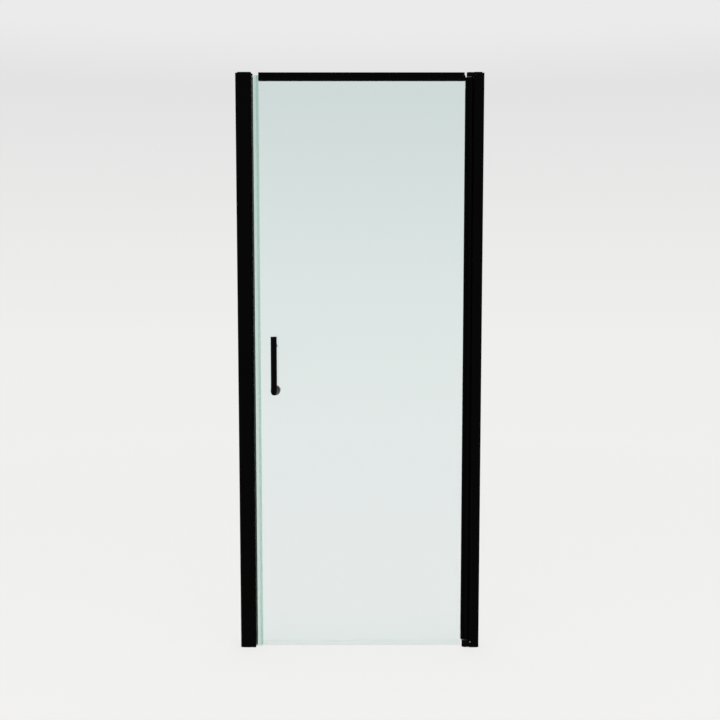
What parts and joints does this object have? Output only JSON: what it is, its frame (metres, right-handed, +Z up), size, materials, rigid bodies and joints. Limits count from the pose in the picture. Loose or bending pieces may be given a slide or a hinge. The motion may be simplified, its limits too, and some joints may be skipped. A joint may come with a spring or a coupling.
{
  "type": "pivot shower door",
  "caption": "Frameless-look pivot shower door: clear glass leaf with a black pull handle, swinging on pin pivots between two black wall posts.",
  "frame": {"origin": "bottom centre of the whole door's bounding box, on the tray or floor", "axes": "+X towards the hinge post, +Y into the shower, +Z up"},
  "size_m": [0.8, 0.085, 1.9],
  "materials": {
    "black_aluminium": "satin black coating on extruded aluminium",
    "black_zinc": "satin black coating on cast zinc",
    "black_brass": "satin black coating on turned brass",
    "black_plastic": "moulded black plastic",
    "black_rubber": "soft black rubber",
    "magnet_core": "dark magnetic rubber",
    "clear_pvc": "clear PVC with a faint green tint",
    "tempered_glass": "6 mm toughened glass",
    "nylon": "white nylon",
    "stainless_steel": "bare stainless steel",
    "black_steel": "blackened steel"
  },
  "bodies": {
    "frame": {"left_wall_channel": "black_aluminium", "right_wall_channel": "black_aluminium", "strike_post": "black_aluminium", "hinge_post": "black_aluminium", "strike_post_cap": "black_plastic", "strike_post_foot": "black_plastic", "strike_strip": "black_plastic", "strike_magnet": "magnet_core", "hinge_fin_seal": "black_rubber", "bottom_bracket": "black_zinc", "top_bracket": "black_zinc", "bottom_pivot_pin": "stainless_steel", "top_pivot_pin": "stainless_steel", "bottom_lock_screw": "stainless_steel", "top_lock_screw": "black_steel", "strike_foot_screws": "stainless_steel", "strike_cap_screws": "stainless_steel", "bottom_bracket_screw": "stainless_steel", "top_bracket_screw": "stainless_steel", "left_post_screws": "stainless_steel", "left_screw_covers": "black_plastic", "right_post_screws": "stainless_steel", "right_screw_covers": "black_plastic"},
    "door": {"glass_panel": "tempered_glass", "hinge_stile": "black_aluminium", "bottom_pivot_block": "nylon", "bottom_pivot_bush": "nylon", "bottom_thrust_washer": "nylon", "bottom_block_screw": "black_steel", "top_pivot_block": "nylon", "top_pivot_bush": "nylon", "top_thrust_washer": "nylon", "top_block_screw": "black_steel", "stile_gasket": "black_rubber", "top_rail": "black_aluminium", "left_rail_cap": "black_plastic", "right_rail_cap": "black_plastic", "rail_gasket": "black_rubber", "closing_seal": "clear_pvc", "seal_magnet": "magnet_core", "drip_seal": "clear_pvc", "handle_bar": "black_brass", "handle_lower_post": "black_brass", "handle_upper_post": "black_brass", "handle_lower_front_gasket": "clear_pvc", "handle_lower_sleeve": "clear_pvc", "handle_lower_rear_gasket": "clear_pvc", "handle_upper_front_gasket": "clear_pvc", "handle_upper_sleeve": "clear_pvc", "handle_upper_rear_gasket": "clear_pvc", "inside_knob": "black_brass", "handle_lower_stud": "stainless_steel", "handle_upper_bolt": "black_brass"}
  },
  "joints": [
    {"name": "door_swing", "type": "hinge", "parent": "frame", "child": "door", "pos_m": [0.3545, 0.0105, 0], "axis": [0, 0, 1], "range_deg": [0, 110]}
  ]
}
